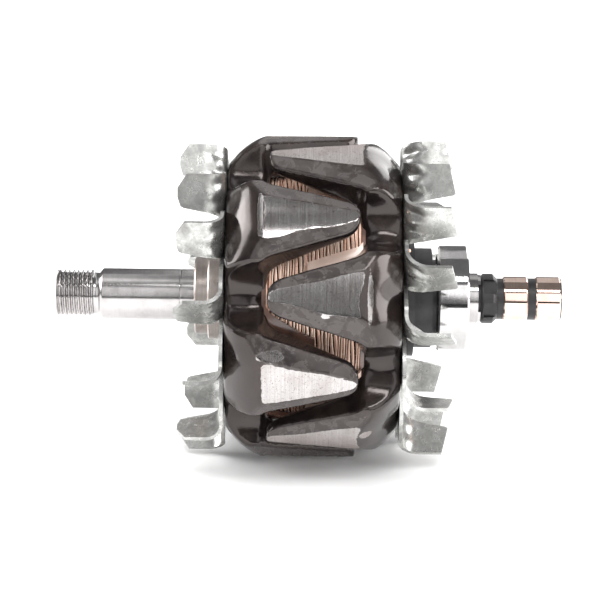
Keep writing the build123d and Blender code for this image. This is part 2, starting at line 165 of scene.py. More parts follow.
# %% One class for every material
class Finish:
    """A material with one Principled shader, built node by node."""

    def __init__(self, name):
        self.material = bpy.data.materials.new(name)
        self.material.use_nodes = True
        self.tree = self.material.node_tree
        self.shader = self.tree.nodes["Principled BSDF"]
        place = self.node("TexCoord", out="Object") * (1 / MM, 1 / MM, 1 / MM)
        self.place = place
        self.along = self.node("SeparateXYZ", values={0: place}, out="X")
        self.side = self.along.other("Y")
        self.height = self.along.other("Z")
        self.radius = (self.side * self.side + self.height * self.height) ** 0.5
        self.angle = self.node("Math", {"operation": "ARCTAN2"}, {0: self.height, 1: self.side})

    def node(self, kind, settings=None, values=None, out=0):
        """Add one node: its settings first, then a value or a link for each socket."""
        made = self.tree.nodes.new("ShaderNode" + kind)
        for name, setting in (settings or {}).items():
            setattr(made, name, setting)
        for name, value in (values or {}).items():
            self.put(made.inputs[name], value)
        return Strand(self, made.outputs[out])

    def put(self, socket, value):
        """Link a strand into a socket, or set a plain value on it."""
        if isinstance(value, Strand):
            self.tree.links.new(value.socket, socket)
        else:
            socket.default_value = value

    def speckle(self, size, detail=2.0, roughness=0.5, at=None, distortion=0.0):
        """Noise from 0 to 1 whose lumps are about size millimetres wide."""
        values = {
            "Vector": at or self.place,
            "Scale": 1 / size,
            "Detail": detail,
            "Roughness": roughness,
            "Distortion": distortion,
        }
        return self.node("TexNoise", {"noise_dimensions": "3D"}, values)

    def stretched(self, along, out, around):
        """A point for noise, squeezed or stretched along, out from and around the shaft."""
        values = {"X": self.along * along, "Y": self.radius * out, "Z": self.angle * around}
        return self.node("CombineXYZ", values=values)

    def blend(self, share, first, second):
        """A colour between two colours, or a strand of colour."""
        settings = {"data_type": "RGBA"}
        return self.node("Mix", settings, {0: share, 6: first, 7: second}, out=2)

    def bump(self, *layers):
        """A normal from layers of height, each with its depth in millimetres."""
        height = None
        for layer, depth in layers:
            part = layer * depth
            height = part if height is None else height + part
        return self.node("Bump", values={"Height": height, "Distance": MM, "Strength": 1.0})

    def surface(self, **looks):
        """Set the shader's sockets, named with _ for a space, and hand the material over."""
        for name, value in looks.items():
            self.put(self.shader.inputs[name.replace("_", " ")], value)
        return self.material


def opaque(red, green, blue):
    """A colour with full alpha."""
    return (red, green, blue, 1.0)


print("shader helpers ready")

# %% [markdown]
# ## Turned steel
# A lathe tool leaves fine rings, so the noise is squeezed along the shaft and stretched around it.
# The same rings tint the metal, change its gloss and raise its surface a few micrometres. Scuffs run
# the other way and come from handling.


# %% Turned and ground metals
RING_SIZE = 0.16
RING_TURNS = 0.6
STAIN_SIZE = 5.0
SCUFF_LENGTH = 4.0
SCUFFS_ROUND = 26.0
TURNED_LOOKS = {
    "turned_steel": {
        "pale": opaque(0.57, 0.55, 0.55),
        "dark": opaque(0.4, 0.385, 0.38),
        "least_roughness": 0.14,
        "spread": 0.25,
        "ring_depth": 0.006,
    },
    "collar_steel": {
        "pale": opaque(0.5, 0.45, 0.42),
        "dark": opaque(0.24, 0.19, 0.17),
        "least_roughness": 0.2,
        "spread": 1.0,
        "ring_depth": 0.02,
    },
    "bearing_steel": {
        "pale": opaque(0.66, 0.65, 0.65),
        "dark": opaque(0.5, 0.48, 0.48),
        "least_roughness": 0.03,
        "spread": 0.4,
        "ring_depth": 0.003,
    },
    "ring_copper": {
        "pale": opaque(0.92, 0.73, 0.64),
        "dark": opaque(0.74, 0.53, 0.44),
        "least_roughness": 0.03,
        "spread": 0.3,
        "ring_depth": 0.003,
    },
}


def turned_metal(name, pale, dark, least_roughness, spread, ring_depth):
    """Metal with lathe rings, stains and scuffs."""
    finish = Finish(name)
    lathe_place = finish.stretched(1 / RING_SIZE, 1 / RING_SIZE, RING_TURNS)
    scuff_place = finish.stretched(1 / SCUFF_LENGTH, 1 / SCUFF_LENGTH, SCUFFS_ROUND)
    rings = finish.speckle(1.0, 3.0, 0.6, lathe_place)
    stains = finish.speckle(STAIN_SIZE, 4.0, 0.6)
    marks = finish.speckle(1.0, 4.0, 0.7, scuff_place).rise(0.6, 0.78)
    colour = finish.blend(stains.rise(0.35, 0.75) * 0.7, pale, dark)
    colour = finish.blend(rings.rise(0.3, 0.75) * 0.35, colour, dark)
    uneven = rings * 0.14 + stains * 0.12 + marks * 0.12
    return finish.surface(
        Base_Color=colour,
        Metallic=1.0,
        Roughness=uneven * spread + least_roughness,
        Normal=finish.bump((rings, ring_depth), (marks, ring_depth * 0.2)),
    )


finishes = {name: turned_metal(name, **look) for name, look in TURNED_LOOKS.items()}
print("turned finishes:", sorted(finishes))

# %% [markdown]
# ## Varnish over forged iron
# The poles were dipped in varnish and then ground round, so their outer faces are bare and streaked
# by the wheel, and everything else is nearly black and glossy. The pieces carry a value named
# `ground` that is 1 on the ground faces and fades at their edges. Noise added to it makes the
# ragged edge that chipped varnish has. A second value, `bevel`, marks the flat bevels beside the
# ground faces, where handling has worn the varnish grey in patches.

# %% The poles' finish
CHIP_LEVEL = 0.32
CHIP_EDGE = (0.2, 0.28)
GROUND_STEEL = (opaque(0.42, 0.4, 0.395), opaque(0.6, 0.58, 0.575))
STAINED_STEEL = opaque(0.3, 0.27, 0.25)
RUST = opaque(0.12, 0.07, 0.055)
VARNISH = (opaque(0.008, 0.006, 0.006), opaque(0.022, 0.016, 0.014))
WORN_VARNISH = opaque(0.07, 0.063, 0.061)
VARNISH_TINT = opaque(1.0, 0.87, 0.83)
LUMP_DEPTH = 0.1
GRAIN_DEPTH = 0.012
WHEEL_DEPTH = 0.008


def pole_finish():
    """Glossy brown-black varnish that gives way to bare ground steel."""
    finish = Finish("varnished_iron")
    ground = finish.node("Attribute", {"attribute_name": "ground"}, out="Fac")
    ragged = finish.speckle(0.9, 3.0, 0.6) * 0.34 + finish.speckle(2.4, 2.0, 0.5) * 0.3
    bare = (ground + ragged - CHIP_LEVEL).rise(*CHIP_EDGE)
    varnished = 1 - bare
    wheel = finish.speckle(1.0, 4.0, 0.65, finish.stretched(5.5, 0.2, 2.2))
    cloud = finish.speckle(7.0, 3.0, 0.5)
    lumps = finish.speckle(6.5, 3.0, 0.5)
    grain = finish.speckle(0.55, 2.0, 0.5)
    brown_spots = finish.speckle(0.6, 4.0, 0.75).rise(0.56, 0.64)
    bevel = finish.node("Attribute", {"attribute_name": "bevel"}, out="Fac")
    patches = finish.speckle(4.5, 4.0, 0.6, distortion=0.5).rise(0.42, 0.56)
    worn = (0.3 + patches * 0.7) * bevel * varnished
    steel = finish.blend(wheel.rise(0.3, 0.75), *GROUND_STEEL)
    steel = finish.blend(cloud.rise(0.4, 0.7) * 0.4, steel, STAINED_STEEL)
    steel = finish.blend(brown_spots * 0.7, steel, RUST)
    varnish = finish.blend(cloud.rise(0.35, 0.7), *VARNISH)
    varnish = finish.blend(worn, varnish, WORN_VARNISH)
    return finish.surface(
        Base_Color=finish.blend(bare, varnish, steel),
        Metallic=bare * 0.95 + worn * 0.3,
        Roughness=bare * (0.08 + wheel * 0.1) + varnished * (0.1 + cloud * 0.12) + worn * 0.15,
        Specular_Tint=VARNISH_TINT,
        Coat_Weight=varnished * 0.3,
        Coat_Roughness=0.09,
        Normal=finish.bump(
            ((lumps - 0.5) * varnished, LUMP_DEPTH),
            ((grain - 0.5) * varnished, GRAIN_DEPTH),
            (wheel * bare, WHEEL_DEPTH),
        ),
    )


finishes["varnished_iron"] = pole_finish()
print("pole finish:", len(finishes["varnished_iron"].node_tree.nodes), "nodes")

# %% [markdown]
# ## Zinc sheet
# Zinc plate on sheet steel looks cloudy. One noise drives its colour, its gloss and its relief, so a
# pale patch is also a smoother one. A finer noise adds the spangle and a broad one the dull smears.

# %% Zinc sheet
ZINC = (opaque(0.6, 0.6, 0.58), opaque(0.36, 0.36, 0.35))
DULL_ZINC = opaque(0.26, 0.26, 0.25)
SMEARED_ZINC = opaque(0.2, 0.19, 0.18)


def zinc_finish():
    """Cloudy zinc plate with dull smears."""
    finish = Finish("zinc_sheet")
    cloud = finish.speckle(3.2, 4.0, 0.6, distortion=0.6)
    fine = finish.speckle(0.6, 3.0, 0.6)
    smear = finish.speckle(9.0, 3.0, 0.5).rise(0.55, 0.72)
    colour = finish.blend(cloud.rise(0.3, 0.72), *ZINC)
    colour = finish.blend(fine.rise(0.45, 0.75) * 0.5, colour, DULL_ZINC)
    colour = finish.blend(smear * 0.5, colour, SMEARED_ZINC)
    return finish.surface(
        Base_Color=colour,
        Metallic=0.9,
        Roughness=cloud * 0.22 + fine * 0.08 + smear * 0.1 + 0.14,
        Normal=finish.bump((cloud, 0.05), (fine, 0.012)),
    )


finishes["zinc_sheet"] = zinc_finish()
print("zinc finish:", len(finishes["zinc_sheet"].node_tree.nodes), "nodes")

# %% [markdown]
# ## Copper wire and plastics
# Enamelled wire is copper under a clear coat. Painted shade darkens the colour in the gaps between the
# wires and towards the bottom of the coil, which the claws shade. The plastics are plain, with a fine
# moulded grain.

# %% Copper wire and plastics
SHADED_GAP_RADII = (38.95, 39.25)
SHADE_HEIGHTS = (-22.0, 12.0)
WIRE_COLOURS = (opaque(1.0, 0.77, 0.63), opaque(0.88, 0.52, 0.38))
WIRE_DIRT = opaque(0.2, 0.1, 0.07)
PAINTED_LOW_SHADE = opaque(0.16, 0.07, 0.05)
PAINTED_GAP_SHADE = opaque(0.02, 0.008, 0.006)


def wire_finish():
    """Copper seen through amber enamel, with each turn a little different, some dirt, and painted shade in
    the gaps and towards the bottom.
    """
    finish = Finish("enamelled_copper")
    turn = finish.speckle(1.0, 2.0, 0.5, finish.stretched(1.1, 0.4, 1.2))
    dirt = finish.speckle(2.4, 3.0, 0.6).rise(0.5, 0.75)
    colour = finish.blend(turn.rise(0.3, 0.7), *WIRE_COLOURS)
    colour = finish.blend(dirt * 0.3, colour, WIRE_DIRT)
    # Painted shade: the coil's colour darkens towards the bottom, where the claws shade it.
    low_shade = 1 - finish.height.rise(*SHADE_HEIGHTS)
    colour = finish.blend(low_shade * 0.6, colour, PAINTED_LOW_SHADE)
    # Painted shade: the colour turns near black deep in the gaps between the wires, where little light
    # reaches.
    colour = finish.blend(finish.radius.rise(*SHADED_GAP_RADII), PAINTED_GAP_SHADE, colour)
    return finish.surface(
        Base_Color=colour,
        Metallic=0.3,
        Roughness=turn * 0.15 + dirt * 0.15 + 0.16,
        Coat_Weight=0.6,
        Coat_Roughness=0.15,
    )


def moulded(name, pale, dark, least_roughness, grain_depth, coat=0.0, painted_lit=None):
    """Moulded plastic or rubber with a fine grain, and where marked a pale painted-light colour."""
    finish = Finish(name)
    cloud = finish.speckle(4.0, 3.0, 0.5)
    grain = finish.speckle(0.25, 2.0, 0.5)
    colour = finish.blend(cloud.rise(0.35, 0.7), pale, dark)
    # Painted light: where a piece is marked, a pale colour stands in for the light its glossy faces catch.
    if painted_lit is not None:
        share = finish.node("Attribute", {"attribute_name": "painted_lit"}, out="Fac")
        colour = finish.blend(share * (0.7 + cloud * 0.3), colour, painted_lit)
    return finish.surface(
        Base_Color=colour,
        Roughness=cloud * 0.15 + grain * 0.08 + least_roughness,
        Coat_Weight=coat,
        Coat_Roughness=0.12,
        Normal=finish.bump((grain, grain_depth), (cloud, grain_depth)),
    )


finishes["enamelled_copper"] = wire_finish()
finishes["bobbin_plastic"] = moulded(
    "bobbin_plastic",
    pale=opaque(0.16, 0.085, 0.065),
    dark=opaque(0.08, 0.04, 0.03),
    least_roughness=0.16,
    grain_depth=0.01,
    coat=1.0,
    # The pale painted-light colour for the marked tabs.
    painted_lit=opaque(0.82, 0.6, 0.5),
)
finishes["black_plastic"] = moulded(
    "black_plastic",
    pale=opaque(0.019, 0.018, 0.019),
    dark=opaque(0.009, 0.008, 0.009),
    least_roughness=0.28,
    grain_depth=0.012,
)
finishes["seal_rubber"] = moulded(
    "seal_rubber",
    pale=opaque(0.04, 0.038, 0.038),
    dark=opaque(0.02, 0.02, 0.02),
    least_roughness=0.5,
    grain_depth=0.01,
)
print("all finishes:", sorted(finishes))

# %% [markdown]
# ## Dress the engineering pieces
# Each node of the model takes the finish that its record names. Pieces whose true shape needs more
# than the plain solid are replaced further down.

# %% Give every node its finish
slot_of = {row["node"]: row["material_slot"] for row in frame["record"]["subparts"]}
for node_name, node in nodes.items():
    node.data.materials.clear()
    node.data.materials.append(finishes[slot_of[node_name]])
print("dressed", len(slot_of), "nodes")

# %% [markdown]
# ## New pieces
# `add_piece` turns plain lists of points and faces into an object, sets its finish and hides the
# nodes that it stands for. Edges sharper than 35 degrees stay crisp and the rest is shaded smooth.

# %% Make a piece from points and faces
SHARP_ANGLE = math.radians(35)


def add_piece(name, mesh, slot, replaced):
    """Link a mesh as a piece of the rotor that stands for engineering nodes."""
    mesh.shade_smooth()
    mesh.set_sharp_from_angle(angle=SHARP_ANGLE)
    mesh.materials.clear()
    mesh.materials.append(finishes[slot])
    piece = bpy.data.objects.new(name, mesh)
    bpy.context.scene.collection.objects.link(piece)
    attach(piece, "rotor")
    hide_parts(*replaced)
    print(name, "has", len(mesh.polygons), "faces")
    return piece


def grid_mesh(name, points):
    """A mesh from closed rows of points in metres, each joined to the next row."""
    rows, columns = points.shape[:2]
    index = np.arange(rows * columns).reshape(rows, columns)
    after = np.roll(index, -1, axis=1)
    quads = np.stack([index[:-1], index[1:], after[1:], after[:-1]], axis=-1)
    mesh = bpy.data.meshes.new(name)
    mesh.from_pydata(points.reshape(-1, 3).tolist(), [], quads.reshape(-1, 4).tolist())
    mesh.validate()
    return mesh


def merge(name, meshes):
    """One mesh from several, which are then removed."""
    points = []
    faces = []
    for mesh in meshes:
        start = len(points)
        points += [tuple(vertex.co) for vertex in mesh.vertices]
        faces += [[start + index for index in face.vertices] for face in mesh.polygons]
        bpy.data.meshes.remove(mesh)
    whole = bpy.data.meshes.new(name)
    whole.from_pydata(points, [], faces)
    return whole


print("pieces keep edges sharper than", round(math.degrees(SHARP_ANGLE)), "degrees")

# %% [markdown]
# ## Poles
# A forging has soft edges and deep fillets everywhere except where it was ground. Such a shape is
# easiest to say as a field: a function that gives each point of space its distance to the surface,
# negative inside. Two fields are joined with `join`, which melts the corner between them, and one is
# trimmed by another with `trim`, which rounds the edge. The field is then turned into a mesh.

# %% Fields with soft corners
CLAW_COUNT = 6
ROTOR_RADIUS = 53.1
RIGHT_CLAW_ANGLE = 15.0
LEFT_CLAW_ANGLE = -15.0


def trim(first, second, softness):
    """The space inside both fields, with its edge rounded."""
    overlap = np.maximum(softness - np.abs(first - second), 0) / softness
    return np.maximum(first, second) + overlap * overlap * softness / 4


def join(first, second, softness):
    """The space inside either field, with the corner between them filled."""
    return -trim(-first, -second, softness)


def line(start, end, at):
    """The height at a station of the straight line through two points."""
    return start[1] + (end[1] - start[1]) * (at - start[0]) / (end[0] - start[0])


print("a corner melted by 4 mm is filled by", -join(0.0, 0.0, 4.0), "mm")

# %% [markdown]
# One claw is measured in its own directions: `out` along the shaft, away from the middle of the
# rotor, `across` around it and `up` away from it. It is a finger that tapers to its tip, on a lobe
# of the web, and a rolled shoulder leads from its ground face down to the fan. A flat bevel runs
# down each flank. The bevels differ, which quietens the machine.

# %% The field of one claw
WEB_INNER_FACE = 17.0
POLE_HALF_LENGTH = 28.5
CLAW_TIP = -14.6
CLAW_TIP_HALF_WIDTH = 4.9
CLAW_ROOT_HALF_WIDTH = 14.2
CLAW_ROOT_STATION = 16.5
CLAW_TIP_UNDERSIDE = 48.6
CLAW_ROOT_UNDERSIDE = 41.4
SHOULDER_CENTRE = (9.1, 32.8)
SHOULDER_ROUND = 21.4
SHOULDER_POWER = 2.15
BEVEL_SLOPE = math.radians(28)
NARROW_BEVEL = ((18.0, 9.75), (-14.0, 2.6), 1)
WIDE_BEVEL = ((18.0, -7.65), (-14.0, -1.2), -1)
GRIND_ALLOWANCE = 0.7
DIP_WIDTH = 6.0
TIP_SOFTNESS = 5.0
EDGE_SOFTNESS = 2.0
ROOT_SOFTNESS = 4.0
SHOULDER_SOFTNESS = 1.6
BEVEL_SOFTNESS = 0.5


def bevel_field(out, across, up, start, end, way):
    """Distance above the flat bevel that meets the ground face along one line of a claw."""
    edge = line(start, end, out)
    rim = np.sqrt(ROTOR_RADIUS**2 - edge**2)
    spread = math.cos(math.atan2(start[1] - end[1], start[0] - end[0]))
    past_edge = (across - edge) * way * spread
    return past_edge * math.sin(BEVEL_SLOPE) + (up - rim) * math.cos(BEVEL_SLOPE)


def shoulder_field(out, across, radius, dip):
    """Distance outside the rolled shoulder and the rough rim, before it is ground."""
    past_centre = np.maximum(out + dip * np.exp(-(across / DIP_WIDTH) ** 2) - SHOULDER_CENTRE[0], 0)
    above_centre = np.maximum(radius - SHOULDER_CENTRE[1], 0)
    # A power of 2 would give a circle. A little more gives a fuller curve that stays flatter on top.
    reach = (past_centre**SHOULDER_POWER + above_centre**SHOULDER_POWER) ** (1 / SHOULDER_POWER)
    return np.maximum(reach - SHOULDER_ROUND, radius - ROTOR_RADIUS - GRIND_ALLOWANCE)


def claw_field(out, across, up, radius, dip, bevelled):
    """Distance to one claw: its finger and its lobe of the web."""
    taper = line((CLAW_TIP, CLAW_TIP_HALF_WIDTH), (CLAW_ROOT_STATION, CLAW_ROOT_HALF_WIDTH), out)
    flank = np.abs(across) - np.minimum(taper, CLAW_ROOT_HALF_WIDTH)
    underside = line((CLAW_TIP, CLAW_TIP_UNDERSIDE), (WEB_INNER_FACE, CLAW_ROOT_UNDERSIDE), out) - radius
    finger = trim(flank, CLAW_TIP - out, TIP_SOFTNESS)
    finger = trim(finger, underside, EDGE_SOFTNESS)
    lobe = trim(flank, WEB_INNER_FACE - out, EDGE_SOFTNESS)
    claw = join(finger, lobe, ROOT_SOFTNESS)
    claw = trim(claw, shoulder_field(out, across, radius, dip), SHOULDER_SOFTNESS)
    if bevelled:
        for start, end, way in (NARROW_BEVEL, WIDE_BEVEL):
            claw = trim(claw, bevel_field(out, across, up, start, end, way), BEVEL_SOFTNESS)
    return np.maximum(claw, -up)


print("a claw is", round(POLE_HALF_LENGTH - CLAW_TIP, 1), "mm long with its lobe")

# %% [markdown]
# The pole is six such claws melted into a disc and a core, with a bore for the shaft. A slow ripple
# over the whole field keeps it from looking machined, and the end of each ground face dips in by a
# different amount. The mesh is then cut back to the exact radius, which leaves crisp edges just
# where the grinding wheel passed, and each point there is marked. The scuffs are marked as well.

# %% Forge the poles
GRID_STEP = 0.72
VALLEY_RADIUS = 38.3
VALLEY_SOFTNESS = 9.0
CORE_RADIUS = 24.5
BORE_RADIUS = 9.0
WEB_INNER_SOFTNESS = 6.0
WEB_OUTER_SOFTNESS = 7.0
CORE_SOFTNESS = 1.0
CORE_FILLET = 2.0
END_FACE_SOFTNESS = 1.5
DIP_MEAN = 0.9
DIP_STEP = 2.4
DIP_PHASE = {-1: -2.77, 1: 1.0}
RIPPLE = 0.16
END_MARGIN = 1.5
RIM_MARGIN = 2.0
OUTSIDE = 10.0
MARK_DEPTH = 0.7
SCUFF_EDGE = 0.5
# Each scuff has its station, its angle in degrees, and half its length and width.
SCUFFS = [
    (17.4, -41.8, 3.0, 3.6),
    (17.7, 15.0, 1.3, 13.0),
    (-13.5, -5.5, 6.0, 2.8),
    (3.8, 9.0, 2.2, 1.0),
    (-16.0, 37.5, 2.5, 1.6),
    (-17.0, 46.0, 1.3, 12.0),
    (13.0, 84.0, 6.0, 1.5),
]


def direction(degrees):
    """Unit vector away from the shaft, at an angle from the front up towards the top."""
    return Vector((0, -math.cos(math.radians(degrees)), math.sin(math.radians(degrees))))


def pole_field(side, first_angle, x, y, z, bevelled=True):
    """Distance to a whole pole at points in millimetres."""
    out = x * side
    radius = np.hypot(y, z)
    disc = trim(radius - VALLEY_RADIUS, WEB_INNER_FACE - out, WEB_INNER_SOFTNESS)
    disc = trim(disc, out - POLE_HALF_LENGTH, WEB_OUTER_SOFTNESS)
    core = trim(radius - CORE_RADIUS, -out, CORE_SOFTNESS)
    pole = join(disc, core, CORE_FILLET)
    for claw in range(CLAW_COUNT):
        away = direction(first_angle + 360 / CLAW_COUNT * claw)
        up = y * away.y + z * away.z
        across = (y * away.z - z * away.y) * side
        dip = DIP_MEAN + DIP_MEAN * math.sin(claw * DIP_STEP + DIP_PHASE[side])
        pole = join(pole, claw_field(out, across, up, radius, dip, bevelled), VALLEY_SOFTNESS)
    pole = trim(pole, out - POLE_HALF_LENGTH, END_FACE_SOFTNESS)
    pole = np.maximum(pole, BORE_RADIUS - radius)
    return pole + RIPPLE * np.sin(x * 0.31 + y * 0.17) * np.sin(y * 0.29 + 1) * np.sin(z * 0.27 + 2)


def mesh_from_field(name, field, low, high, step):
    """A mesh of the surface where a field is zero, from samples on a grid between two corners."""
    axes = [np.arange(start, end + step, step) for start, end in zip(low, high)]
    x, y, z = np.meshgrid(*axes, indexing="ij", sparse=True)
    samples = np.broadcast_to(field(x, y, z), [len(axis) for axis in axes]).astype(np.float32)
    grid = openvdb.FloatGrid(OUTSIDE)
    grid.copyFromArray(np.ascontiguousarray(samples))
    points, quads = grid.convertToQuads(0.0)[:2]
    mesh = bpy.data.meshes.new(name)
    mesh.from_pydata(((points * step + np.array(low)) * MM).tolist(), [], quads[:, ::-1].tolist())
    mesh.validate()
    return mesh


def mark_depth(mesh, name, depth):
    """Keep at each point how far below another shape it lies, from 0 to 1."""
    layer = mesh.attributes.new(name, "FLOAT", "POINT")
    layer.data.foreach_set("value", np.clip(depth / MARK_DEPTH, 0, 1).astype(np.float32))


def scuffed(x, y, z):
    """How bare handling has rubbed each point, from 0 to 1 or less, by the list of scuffs."""
    angle = np.degrees(np.arctan2(z, -y))
    most = np.full_like(x, -1.0)
    for station, middle, half_length, half_width in SCUFFS:
        sideways = np.radians(angle - middle) * ROTOR_RADIUS
        most = np.maximum(most, 1 - np.hypot((x - station) / half_length, sideways / half_width))
    return most * SCUFF_EDGE


def grind_rim(mesh, field):
    """Cut a mesh back to the rotor's radius and mark where the wheel and the bevels cut."""
    points = np.empty(len(mesh.vertices) * 3)
    mesh.vertices.foreach_get("co", points)
    points = points.reshape(-1, 3)
    radius = np.hypot(points[:, 1], points[:, 2]) / MM
    points[:, 1:] *= np.minimum(1, ROTOR_RADIUS / radius)[:, None]
    mesh.vertices.foreach_set("co", points.ravel())
    x, y, z = points.T / MM
    mark_depth(mesh, "ground", np.maximum(-field(x, y, z), scuffed(x, y, z)))
    mark_depth(mesh, "bevel", -field(x, y, z, bevelled=False))
    mesh.update()


def forged_pole(name, node_name, side, first_angle):
    """One pole with rounded forging edges and crisp ground faces."""

    def field(x, y, z, bevelled=True):
        return pole_field(side, first_angle, x, y, z, bevelled)

    ends = sorted((side * (CLAW_TIP - END_MARGIN), side * (POLE_HALF_LENGTH + END_MARGIN)))
    reach = ROTOR_RADIUS + RIM_MARGIN
    mesh = mesh_from_field(name, field, (ends[0], -reach, -reach), (ends[1], reach, reach), GRID_STEP)
    grind_rim(mesh, field)
    add_piece(name, mesh, "varnished_iron", [node_name])


forged_pole("drive_end_forging", "drive_end_pole", -1, LEFT_CLAW_ANGLE)
forged_pole("slip_ring_end_forging", "slip_ring_end_pole", 1, RIGHT_CLAW_ANGLE)

# %% [markdown]
# ## Shaft
# The thread is a true helix: the radius at a point depends on how far along the shaft it is and on
# how far round. A grid of points around the axis with that rule gives the whole shaft as one mesh.
# A second ring of points stands close behind each chamfer of the long journal. Without it, smooth
# shading would bend the reflections along the whole journal.

# %% Turn the shaft with its thread
SHAFT_RADIUS = 8.5
PRESS_RADIUS = 9.0
GROOVE_RADIUS = 8.44
RELIEF_RADIUS = 7.0
AXIS_RADIUS = 0.001
THREAD_RADIUS = 7.9
THREAD_PITCH = 1.5
THREAD_DEPTH = 0.92
THREAD_START = -84.6
THREAD_END = -72.6
THREAD_RUN_IN = 0.9
THREAD_RUN_OUT = 0.5
GROOVE_TOP = 1.25
FLANK_STEEPNESS = 3.2
STEPS_PER_TURN = 14
SEGMENTS = 120


def lathe(outline, segments=SEGMENTS, shape=None):
    """Points around the shaft for an outline of (station, radius), with an optional change of radius."""
    stations = np.array([point[0] for point in outline])[:, None]
    radii = np.array([point[1] for point in outline])[:, None]
    turns = np.linspace(0, 2 * math.pi, segments, endpoint=False)[None, :]
    radius = radii + 0 * turns
    if shape is not None:
        radius = shape(stations + 0 * turns, radius, turns + 0 * stations)
    station = stations + 0 * turns
    return np.stack([station, radius * np.cos(turns), radius * np.sin(turns)], axis=-1) * MM


def thread_outline():
    """Stations close enough together to carry the thread."""
    count = round((THREAD_END - THREAD_START) / THREAD_PITCH * STEPS_PER_TURN)
    return [(station, THREAD_RADIUS) for station in np.linspace(THREAD_START, THREAD_END, count)]


def cut_thread(station, radius, turn):
    """Take the helical groove out of the stretch that carries the thread."""
    phase = (station / THREAD_PITCH - turn / (2 * math.pi)) % 1
    groove = np.clip(GROOVE_TOP - np.abs(phase - 0.5) * FLANK_STEEPNESS, 0, 1)
    fade = np.clip((station - THREAD_START) / THREAD_RUN_IN, 0, 1)
    fade = fade * np.clip((THREAD_END - station) / THREAD_RUN_OUT, 0, 1)
    inside = (station >= THREAD_START) & (station <= THREAD_END) & (radius > THREAD_RADIUS - THREAD_DEPTH)
    return radius - np.where(inside, groove * fade * THREAD_DEPTH, 0)


centre_hole = [(-82.2, AXIS_RADIUS), (-85.0, 2.4)]
thread = [(-85.0, 6.9), *thread_outline()]
relief = [(-72.3, 7.1), (-72.0, RELIEF_RADIUS), (-70.8, RELIEF_RADIUS), (-70.6, 7.1)]
journal = [
    (-69.6, 8.4),
    (-69.4, SHAFT_RADIUS),
    (-69.3, SHAFT_RADIUS),
    (-44.1, SHAFT_RADIUS),
    (-44.0, SHAFT_RADIUS),
]
groove = [
    (-43.9, GROOVE_RADIUS),
    (-43.5, GROOVE_RADIUS),
    (-43.4, SHAFT_RADIUS),
    (-43.3, SHAFT_RADIUS),
    (-39.0, SHAFT_RADIUS),
]
press_seat = [(-39.0, PRESS_RADIUS), (29.7, PRESS_RADIUS)]
bearing_seat = [(29.7, SHAFT_RADIUS), (51.2, SHAFT_RADIUS)]
stub = [(51.2, 6.0), (54.5, 6.0), (54.5, 4.5), (79.0, 4.5), (79.0, AXIS_RADIUS)]
shaft_outline = centre_hole + thread + relief + journal + groove + press_seat + bearing_seat + stub
shaft_mesh = grid_mesh("threaded_shaft", lathe(shaft_outline, shape=cut_thread))
add_piece("threaded_shaft", shaft_mesh, "turned_steel", ["shaft"])

# %% [markdown]
# ## Field winding
# Thirty-two turns of round wire show between the claws. Each turn is a shallow arc in the outline,
# with a deep gap beside it. Waves that differ from wire to wire move the turns in and out and sideways,
# because a winding machine never lays them quite straight.

# %% Wind the coil
COIL_RADIUS = 39.6
COIL_HALF_LENGTH = 15.2
WIRE_TURNS = 32
WIRE_PITCH = 2 * COIL_HALF_LENGTH / WIRE_TURNS
WIRE_CROWN = 0.15
WIRE_WIDTH_SHARE = 0.64
WIRE_GAP = 0.85
GAP_PLACE = 0.87
COIL_DEPTH = 4.0
WIRE_INSET = 0.13
WOBBLE = 0.08
WIRE_SHIFTS = (12.9898, 78.233)
# Size in millimetres, waves round the coil, and drift for each millimetre along it or each wire.
LEAN_WAVES = ((0.3, 4, 0.9), (0.2, 11, 2.1))
WIRE_LEAN = (0.1, 9, 2.4)
STRAIGHT_END = 1.5
POINTS_PER_WIRE = 7
COIL_SEGMENTS = 240


def wire_outline():
    """The scalloped outline of wires that lie side by side, with a gap beside each."""
    outline = [(-COIL_HALF_LENGTH, COIL_RADIUS - COIL_DEPTH)]
    for wire in range(WIRE_TURNS):
        centre = -COIL_HALF_LENGTH + WIRE_PITCH * (wire + 0.5)
        for step in range(POINTS_PER_WIRE):
            swing = math.pi * (step / (POINTS_PER_WIRE - 1) - 0.5)
            station = centre + math.sin(swing) * WIRE_PITCH / 2 * WIRE_WIDTH_SHARE
            outline.append((station, COIL_RADIUS - WIRE_CROWN * (1 - math.cos(swing))))
        outline.append((centre + WIRE_PITCH / 2 * GAP_PLACE, COIL_RADIUS - WIRE_GAP))
    outline.append((COIL_HALF_LENGTH, COIL_RADIUS - COIL_DEPTH))
    return outline


def wire_wobble(station, radius, turn):
    """Shift each wire in and out slowly along its length."""
    wire = np.floor((station + COIL_HALF_LENGTH) / WIRE_PITCH - 1e-6)
    wave = np.sin(turn * 3 + wire * WIRE_SHIFTS[0]) + np.sin(turn * 7 + wire * WIRE_SHIFTS[1]) * 0.6
    return radius - WIRE_INSET + wave * WOBBLE


def sway(points):
    """Lean the wires sideways a little, neighbours nearly together."""
    station = points[..., 0] / MM
    turn = np.arctan2(points[..., 2], points[..., 1])
    wire = np.floor((station + COIL_HALF_LENGTH) / WIRE_PITCH)
    lean = sum(size * np.sin(turn * waves + station * drift) for size, waves, drift in LEAN_WAVES)
    size, waves, drift = WIRE_LEAN
    lean += size * np.sin(turn * waves + wire * drift)
    inside = np.clip((COIL_HALF_LENGTH - np.abs(station)) / STRAIGHT_END, 0, 1)
    points[..., 0] += lean * inside * MM
    return points


coil_points = sway(lathe(wire_outline(), COIL_SEGMENTS, wire_wobble))
coil_mesh = grid_mesh("wound_coil", coil_points)
add_piece("wound_coil", coil_mesh, "enamelled_copper", ["coil_winding"])
